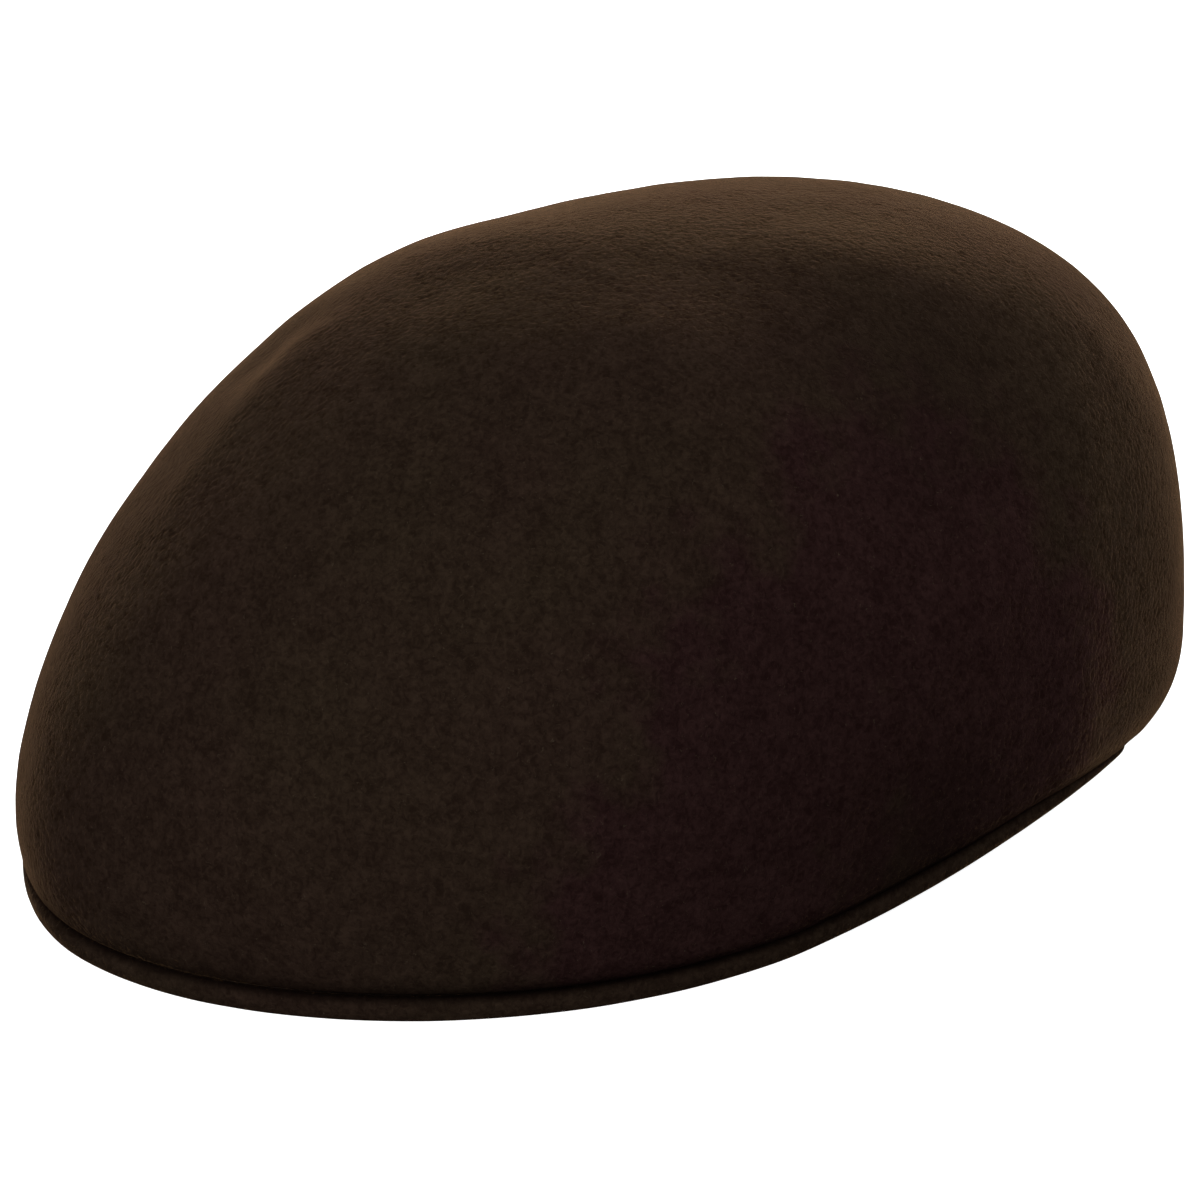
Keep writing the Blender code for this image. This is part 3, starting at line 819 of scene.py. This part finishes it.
def stitches(name, path, up, look, length=2.9, pitch=3.6, radius=0.24):
    """Separate stitches along a path of points, each end sunk a little against up."""
    steps = np.linalg.norm(np.diff(path, axis=0), axis=1)
    along = np.append(0.0, np.cumsum(steps))
    starts = np.arange(0.5 * (pitch - length), along[-1] - length, pitch)
    share = np.linspace(0.0, 1.0, STITCH_RINGS)
    thick = radius * np.sqrt(np.maximum(0.06, 1.0 - (2.0 * share - 1.0) ** 4))
    lift = radius * (np.sin(math.pi * share) - 0.6)
    turns = around(STITCH_SIDES)
    tube = tube_faces(STITCH_RINGS, STITCH_SIDES)
    points = []
    faces = []
    for start in starts:
        at = start + length * share
        line = np.stack([np.interp(at, along, path[:, k]) for k in range(3)], 1)
        rise = np.stack([np.interp(at, along, up[:, k]) for k in range(3)], 1)
        rise /= np.linalg.norm(rise, axis=1)[:, None]
        ahead = (line[-1] - line[0]) / np.linalg.norm(line[-1] - line[0])
        side = np.cross(ahead, rise)
        line = line + rise * lift[:, None]
        faces.extend(tuple(len(points) + i for i in face) for face in tube)
        for k in range(STITCH_RINGS):
            spread = np.outer(np.cos(turns), side[k]) + np.outer(np.sin(turns), rise[k])
            points.extend(line[k] + thick[k] * spread)
    return mesh_object(name, np.array(points), faces, look)


def make_facing_stitches(look):
    """Two rows round the peak's underside, lying in their furrows."""
    c = columns_at(facing_angles(SEAM_POINTS))
    inner, outer = facing_edges(c)
    wide = (outer - inner)[:, 0] > STITCHED_WIDTH
    down = np.tile([0.0, 0.0, -1.0], (wide.sum(), 1))
    for number, row in enumerate(STITCH_ROWS, 1):
        path = place(c, outer - row, c.rise + seam_groove(row, outer - inner))[wide, 0]
        piece = stitches(f"facing_stitches_{number}", path, down, look)
        finish_piece(piece, "facing_felt")


# ---- Sweatband, reed, tape and bow ----

def band_face(opening, z):
    """Distance from the axis to the sweatband's outer face."""
    lean = BAND_LEAN * (z - BAND_LOW) / (BAND_HIGH - BAND_LOW)
    return opening - GAP + lean


def band_wave(c, z):
    """The band's slight waves, which grow towards its free top edge."""
    free = smoothstep(BAND_LOW + 6.0, BAND_HIGH, z)
    waves = 0.45 * np.sin(7.0 * c.angle + 0.8) + 0.3 * np.sin(12.0 * c.angle + 2.1)
    return free * (waves - 0.6)


EDGE_POINTS = 5  # round the edge of a thin upright piece


def rounded_upright(low, high, thickness, steps):
    """Offset inwards and height of a thin upright section with round edges, as a loop."""
    half = thickness / 2
    heights = np.linspace(low + half, high - half, steps)
    arc = np.radians(np.linspace(0.0, 180.0, EDGE_POINTS + 2))[1:-1]
    outward = np.concatenate([np.zeros(steps), half - half * np.cos(arc)])
    upward = np.concatenate([heights, high - half + half * np.sin(arc)])
    inward = np.concatenate([np.full(steps, thickness), half + half * np.cos(arc)])
    downward = np.concatenate([heights[::-1], low + half - half * np.sin(arc)])
    return np.concatenate([outward, inward]), np.concatenate([upward, downward])


BAND_SEAM = 3.4  # height of the row of stitches above the band's lower edge
BAND_PULL = 0.25  # how deep they pull into its inner face
BAND_PULL_WIDTH = 0.9
REED_RIBS = 240
REED_RIB_HEIGHT = 0.04  # as a share of its radius


def make_band(leather, thread, reed_look):
    """The sweatband, its row of stitches, and the reed along its lower edge."""
    c = columns_at(even_angles(COLUMNS))
    inset, z = rounded_upright(BAND_LOW, BAND_HIGH, BAND_THICKNESS, BAND_STEPS)
    pull = BAND_PULL * bell(z - BAND_LOW - BAND_SEAM, BAND_PULL_WIDTH)
    pull *= inset > BAND_THICKNESS / 2
    r = band_face(c.opening, z) - inset + band_wave(c, z) + pull
    band = ring("sweatband_leather", place(c, r, z + c.rise), leather)
    finish_piece(band, "band_leather", "sweatband")

    height = BAND_LOW + BAND_SEAM
    r = band_face(c.opening, height) - BAND_THICKNESS + BAND_PULL
    path = place(c, r, height + c.rise)[:, 0]
    path = np.append(path, path[:1], 0)
    inward = -np.hstack([c.east, c.north, 0.0 * c.east])
    inward = np.append(inward, inward[:1], 0)
    seam = stitches("sweatband_stitches", path, inward, thread, length=2.4, pitch=3.1, radius=0.2)
    finish_piece(seam, "band_leather")

    turns = around(REED_SIDES)
    middle = band_face(c.opening, BAND_LOW) - BAND_THICKNESS / 2
    ribs = 1.0 + REED_RIB_HEIGHT * np.sin(REED_RIBS * c.angle + 3.0 * turns)
    r = middle + REED_RADIUS * ribs * np.cos(turns)
    z = REED_HEIGHT + c.rise + REED_RADIUS * np.sin(turns)
    reed = ring("sweatband_reed_cord", place(c, r, z), reed_look)
    finish_piece(reed, "reed_plastic", "sweatband_reed")
    return band


CORNER_POWER = 24  # the higher, the squarer a patch's upright ends


def upright_patch(name, look, centre, half_width, low, high, face, thickness, shape):
    """A thin upright piece with round edges along the head opening.

    centre is in degrees from the back, face gives the outer distance from the axis, and
    shape an extra distance for shares across and up, from -1 to 1.
    """
    middle = math.radians(180.0 - centre)
    reach = float(opening_reach(math.sin(middle), -math.cos(middle)))
    across = np.linspace(-1.0, 1.0, PATCH_COLUMNS)
    squeeze = np.sqrt(np.maximum(0.04, 1.0 - np.abs(across[:, None]) ** CORNER_POWER))
    c = columns_at(middle + across * half_width / reach)
    inset, z = rounded_upright(low, high, thickness, PATCH_STEPS)
    upright = 2.0 * (z - low) / (high - low) - 1.0
    r = face(c.opening, z) - thickness / 2 + (thickness / 2 - inset) * squeeze
    return ring(name, place(c, r + shape(across[:, None], upright), z), look, closed=False)


def tape_face(opening, z):
    """Distance from the axis to the tape's outer face."""
    return band_face(opening, z) - BAND_THICKNESS - GAP


TAPE_FULLNESS = 0.15  # how far its middle stands in from its edges
TAPE_SEAM_INSET = 1.2  # from the tape's upright edges to its stitches
TAPE_SEAM_END = 1.0  # and from its ends
TAPE_SEAM_POINTS = 40


def make_tape(leather, thread):
    """The leather tape that covers the sweatband's join, sewn down along its upright edges."""
    middle = (BAND_LOW + BAND_HIGH) / 2
    low = middle - TAPE_HALF_HEIGHT
    high = middle + TAPE_HALF_HEIGHT

    def settle(across, upright):
        return -TAPE_FULLNESS * (1.0 - across ** 4) * (1.0 - upright ** 6)

    tape = upright_patch("join_tape_leather", leather, 0.0, TAPE_HALF_WIDTH, low, high,
                         tape_face, TAPE_THICKNESS, settle)
    finish_piece(tape, "tape_leather", "sweatband_join_tape")
    side = TAPE_HALF_WIDTH - TAPE_SEAM_INSET
    z = np.linspace(low + TAPE_SEAM_END, high - TAPE_SEAM_END, TAPE_SEAM_POINTS)
    y = tape_face(opening_reach(0.0, 1.0), z) - TAPE_THICKNESS - 0.12
    inward = np.tile([0.0, -1.0, 0.0], (TAPE_SEAM_POINTS, 1))
    for name, across in (("left", side), ("right", -side)):
        path = np.stack([np.full_like(z, across), y, z], 1)
        piece = stitches(f"join_tape_stitches_{name}", path, inward, thread, 1.9, 2.5, 0.17)
        finish_piece(piece, "tape_leather")


BOW_RIBBON = 0.26  # thickness of the bow's ribbon
BOW_WAIST_HALF_HEIGHT = 1.7
BOW_TURN = 168.0  # degrees round a loop, each way from its tip
BOW_LOOP_POINTS = 41
BOW_WRAP_POINTS = 32
BOW_WRAP_ROWS = 7
BOW_WRAP_HALF_HEIGHT = 2.8
BOW_WRAP_HALF_WIDTH = 2.3
BOW_WRAP_HALF_DEPTH = 0.78
BOW_WRAP_INSIDE = 0.72  # size of its inner face, as a share of the outer one
BOW_SHARP_ANGLE = 70.0


def ribbon_strip(name, middle, half_height, ahead, look):
    """A ribbon along a path seen from above; ahead gives the path's sideways normal."""
    across = np.linspace(-1.0, 1.0, 5)
    up = np.append(across, across[::-1])[:, None] * np.array([0.0, 0.0, 1.0])
    face = np.repeat([-1.0, 1.0], 5)[:, None] * BOW_RIBBON / 2
    points = [
        spot + up * half + face * np.array([normal[0], normal[1], 0.0])
        for spot, half, normal in zip(middle, half_height, ahead)
    ]
    return ring(name, np.array(points), look, closed=False, sharp_angle=BOW_SHARP_ANGLE)


def make_loop(name, way, back, look):
    """One of the bow's loops: a ribbon that comes out from the middle and goes back."""
    turn = np.radians(np.linspace(-BOW_TURN, BOW_TURN, BOW_LOOP_POINTS))
    bulge = np.cos(turn / 2) ** 0.8
    x = way * (1.0 + (BOW_HALF_WIDTH - 1.2) * bulge)
    apart = 0.5 + 0.42 * np.sin(turn) * (0.6 + 0.4 * bulge)
    y = back - BOW_RIBBON / 2 - 0.1 - (BOW_THICKNESS - BOW_RIBBON) * apart
    fullest = BOW_HALF_HEIGHT - 0.2
    half = BOW_WAIST_HALF_HEIGHT + (fullest - BOW_WAIST_HALF_HEIGHT) * smoothstep(0.0, 0.75, bulge)
    middle = np.stack([x, y, np.full(BOW_LOOP_POINTS, BOW_HEIGHT)], 1)
    slope = np.gradient(middle[:, :2], axis=0)
    slope /= np.linalg.norm(slope, axis=1)[:, None]
    normal = np.stack([slope[:, 1], -slope[:, 0]], 1)
    return ribbon_strip(name, middle, half, normal, look)


def make_bow(look):
    """A small flat bow on the tape: a loop each way and a wrap round the middle."""
    back = float(tape_face(opening_reach(0.0, 1.0), BOW_HEIGHT)) - TAPE_THICKNESS - GAP
    for name, way in (("bow_loop_left", 1.0), ("bow_loop_right", -1.0)):
        finish_piece(make_loop(name, way, back, look), "bow_ribbon")
    turn = around(BOW_WRAP_POINTS)
    x = BOW_WRAP_HALF_WIDTH * squared(np.cos(turn), 0.6)
    y = BOW_WRAP_HALF_DEPTH * squared(np.sin(turn), 0.8)
    levels = np.linspace(-1.0, 1.0, BOW_WRAP_ROWS)
    rows = []
    for size, order in ((1.0, levels), (BOW_WRAP_INSIDE, levels[::-1])):
        for level in order:
            scale = size * (1.0 - 0.1 * level ** 2)
            z = np.full(BOW_WRAP_POINTS, BOW_HEIGHT + BOW_WRAP_HALF_HEIGHT * level)
            rows.append(np.stack([x * scale, back - 0.95 + y * scale, z], 1))
    wrap = ring("bow_wrap", np.array(rows), look, sharp_angle=BOW_SHARP_ANGLE)
    finish_piece(wrap, "bow_ribbon", "sweatband_bow")


# ---- Lining and labels ----

def lining_at(c, t, depth):
    """Distance and height on the lining, on a cone from the opening or along the crown."""
    r, z = crown_at(c, t, FELT + LINING_GAP + depth)
    foot = c.opening + 2 * GAP + LINING - depth
    cone = foot + LINING_SPREAD * (z - seat(c) - FLANGE)
    blend = np.clip(0.5 + 0.5 * (r - cone) / LINING_SOFTNESS, 0.0, 1.0)
    softened = LINING_SOFTNESS * blend * (1.0 - blend) / 2
    return r + (cone - r) * blend - softened, z


def gathers(c, t):
    """How far the satin stands off its form: upright folds, and puckers at the seam."""
    uneven = 0.8 * np.sin(3.0 * c.angle + 1.0) + 0.5 * np.sin(8.0 * c.angle)
    folds = 0.5 + 0.5 * np.sin(26.0 * c.angle + 2.2 * uneven)
    puckers = (0.5 + 0.5 * np.sin(58.0 * c.angle + 3.0 * uneven)) ** 2
    at_seam = np.exp(-np.abs(t - LINING_SEAM) / 0.07)
    return 1.1 * folds * bell(t - 0.34, 0.16) + 0.75 * puckers * at_seam


def lining_layer(c, t, depth, share=1.0):
    """A face of the lining with a share of its folds, which never reach out to the felt."""
    return place(c, *lining_at(c, t, depth + gathers(c, t) * share))


PIPING_STRANDS = 150
PIPING_LAY = 0.07  # depth of its twist, as a share of the radius
PIPING_STAND_OFF = 0.35  # beyond the gap, clear of the puckers


def make_lining(side_look, tip_look, cord_look):
    """The lining's side and top panels and the piping over their seam."""
    c = columns_at(even_angles(COLUMNS))
    low = seat(c) + FLANGE + 2 * GAP
    foot = c.opening + 2 * GAP
    t = np.linspace(0.0, LINING_SEAM - SEAM_SLIT, LINING_STEPS)
    outer = lining_layer(c, t, 0.0)
    inner = lining_layer(c, t, LINING)[:, ::-1]
    edge = [place(c, foot, low), place(c, foot + LINING, low)]
    points = np.concatenate([outer, inner] + edge, 1)
    side = ring("lining_side_satin", points, side_look)
    finish_piece(side, "lining_satin", "lining_side")

    t = np.linspace(1.0, LINING_SEAM + SEAM_SLIT, LINING_STEPS // 2 + 1)[1:]
    share = smoothstep(1.0, 0.85, t)
    outer = lining_layer(c, t, 0.0, share)
    inner = lining_layer(c, t, LINING, share)[:, ::-1]
    top = HEIGHT - FELT - LINING_GAP
    tip = dome("lining_tip_satin", np.concatenate([outer, inner], 1), top, top - LINING, tip_look)
    finish_piece(tip, "tip_satin", "lining_tip")

    turns = around(PIPING_SIDES)
    stand_off = LINING + GAP + PIPING_RADIUS + PIPING_STAND_OFF
    r, z = lining_at(c, np.array([LINING_SEAM]), stand_off)
    lay = 1.0 + PIPING_LAY * np.sin(PIPING_STRANDS * c.angle + 2.0 * turns)
    r = r + PIPING_RADIUS * lay * np.cos(turns)
    z = z + PIPING_RADIUS * lay * np.sin(turns)
    piping = ring("lining_piping_cord", place(c, r, z), cord_look)
    finish_piece(piping, "piping_satin", "lining_piping")
    return side, tip


def make_label(name, label, look, slot, node, lean):
    """A blank woven tag behind the sweatband, its free top corners a little curled."""
    def face(opening, z):
        return opening + LABEL_CLEARANCE + 0.0 * z

    def curl(across, upright):
        corner = np.maximum(0.0, upright) ** 3
        return -corner * (0.5 + lean * across + 0.7 * across ** 2) - 0.12 * np.sin(5.0 * across)

    piece = upright_patch(name, look, label.angle, label.half_width, LABEL_LOW,
                          LABEL_LOW + 2 * label.half_height, face, LABEL_THICKNESS, curl)
    return finish_piece(piece, slot, node)


def circumference():
    """Length round the head opening, in millimetres."""
    c = columns_at(np.linspace(-math.pi, math.pi, 721))
    points = place(c, c.opening, 0.0)[:, 0]
    return float(np.linalg.norm(np.diff(points, axis=0), axis=1).sum())


# ---- Stage ----

FLOOR_SIDES = 64
FLOOR_RADIUS = 3000.0
WALL_BEND = 1500.0
WALL_HEIGHT = 4000.0


def make_floor():
    """A pale floor that curves up into a wall, with a glow that keeps it white.

    It is hidden from diffuse rays, so its glow doesn't light the felt.
    """
    look = Look("pale_floor", Roughness=0.9, Specular_IOR_Level=0.1,
                Emission_Color=(1.0, 1.0, 1.0), Emission_Strength=0.9)
    shade = look.levels(look.noise(900.0, 2.0), 0.3, 0.7)
    look.set("Base Color", look.mix(shade, (0.84, 0.84, 0.84), (0.87, 0.87, 0.87)))
    bend = np.radians(np.linspace(0.0, 90.0, 13))
    r = np.append(FLOOR_RADIUS + WALL_BEND * np.sin(bend), FLOOR_RADIUS + WALL_BEND)
    z = np.append(WALL_BEND * (1.0 - np.cos(bend)), WALL_HEIGHT)
    turns = around(FLOOR_SIDES)
    heights = np.tile(z, (FLOOR_SIDES, 1))
    rings = np.stack([np.outer(np.cos(turns), r), np.outer(np.sin(turns), r), heights], -1)
    faces = grid_faces(FLOOR_SIDES, len(r), True, False)
    faces.append(tuple(i * len(r) for i in range(FLOOR_SIDES)))
    floor = mesh_object("floor", rings.reshape(-1, 3), faces, look.material)
    floor.visible_diffuse = False
    floor.visible_shadow = False


# Round lamps: name, place and width in metres, and power in watts
LAMPS = [
    ("back_left", (-1.44, 0.0, 0.5), 0.5, 15.5),
    ("back_middle", (-0.9, 1.15, 0.4), 0.5, 22.5),
    ("back_right", (0.0, 1.44, 0.5), 0.5, 18.0),
    ("high_back", (-0.83, 0.55, 1.4), 0.8, 5.5),
    ("front_left", (0.3, -1.5, 1.0), 1.0, 8.0),
    ("front_right", (1.25, -0.83, 1.0), 1.0, 14.0),
]
LAMP_TARGET = Vector((0.0, 0.0, 0.05))
WORLD_GLOW = 0.06


def stand(name, data, at, target, roll=0.0):
    """A lamp or a camera at a place in metres, looking at another."""
    thing = bpy.data.objects.new(name, data)
    thing.location = at
    thing.rotation_mode = "QUATERNION"
    level = (target - at).to_track_quat("-Z", "Y")
    thing.rotation_quaternion = level @ Quaternion((0.0, 0.0, 1.0), math.radians(roll))
    bpy.context.scene.collection.objects.link(thing)
    return thing


def make_stage():
    """Floor, lamps, surroundings and the camera."""
    make_floor()
    scene = bpy.context.scene
    scene.world = bpy.data.worlds.new("studio")
    scene.world.use_nodes = True
    background = scene.world.node_tree.nodes["Background"].inputs
    background["Color"].default_value = (1.0, 1.0, 1.0, 1.0)
    background["Strength"].default_value = WORLD_GLOW
    for name, at, size, power in LAMPS:
        data = bpy.data.lights.new(name, "AREA")
        data.shape = "DISK"
        data.size = size
        data.energy = power
        stand(name, data, Vector(at), LAMP_TARGET)
    scene.view_settings.view_transform = "Standard"

    data = bpy.data.cameras.new("camera")
    data.lens = CAMERA_LENS
    data.sensor_width = CAMERA_SENSOR
    data.clip_start = 0.01
    scene.camera = stand("camera", data, CAMERA_AT * MM, CAMERA_TARGET * MM, CAMERA_ROLL)


# ---- All together ----

felt = felt_look("brown_felt", red_spots=RED_SPOTS, shade_spots=PAINTED_SHADE_SPOTS)
under_felt = felt_look("facing_brown_felt")
leather = leather_look("sweatband_brown_leather")
tape_leather = leather_look("tape_brown_leather")
brown_thread = thread_look("brown_thread", (0.02, 0.012, 0.008), (0.06, 0.038, 0.025))
tan_thread = thread_look("tan_thread", (0.09, 0.055, 0.03), (0.2, 0.13, 0.08))
side_satin = satin_look("lining_brown_satin", (0.035, 0.017, 0.010), (0.075, 0.040, 0.024))
tip_satin = satin_look("tip_brown_satin", (0.038, 0.019, 0.011), (0.080, 0.043, 0.026))
cord_satin = satin_look("piping_dark_satin", (0.020, 0.010, 0.007), (0.050, 0.026, 0.016))
ribbon = woven_look("bow_grosgrain", (0.012, 0.007, 0.005), (0.040, 0.024, 0.016), 0.5)
label_cloth = woven_look("label_cloth_weave", (0.20, 0.15, 0.09), (0.40, 0.31, 0.20), 0.45)
care_cloth = woven_look("care_cloth_weave", (0.45, 0.42, 0.36), (0.70, 0.67, 0.60), 0.4)
reed_plastic = plastic_look("reed_dark_plastic", (0.05, 0.03, 0.02))
board_plastic = plastic_look("board_grey_plastic", (0.07, 0.07, 0.07))

# Shaded copies of the felt for the rolled edge: painted shade with less and less sheen towards the
# crease
crease_shaded = [
    felt_look(f"crease_shaded_brown_felt_{number}", sheen, RED_SPOTS, PAINTED_SHADE_SPOTS)
    for number, sheen in enumerate(CREASE_SHEENS, 1)
]
make_crown(felt, crease_shaded)
make_facing(under_felt)
make_facing_stitches(brown_thread)
band = make_band(leather, tan_thread, reed_plastic)
make_tape(tape_leather, tan_thread)
make_bow(ribbon)
side, tip = make_lining(side_satin, tip_satin, cord_satin)
size_label = make_label("size_label_cloth", SIZE_LABEL, label_cloth, "label_cloth", "size_label", 0.5)
care_label = make_label("care_label_cloth", CARE_LABEL, care_cloth, "care_cloth", "care_label", -0.4)

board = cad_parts["peak_board"]
board.data.materials.clear()
board.data.materials.append(board_plastic)

circumference() * MM

make_stage()
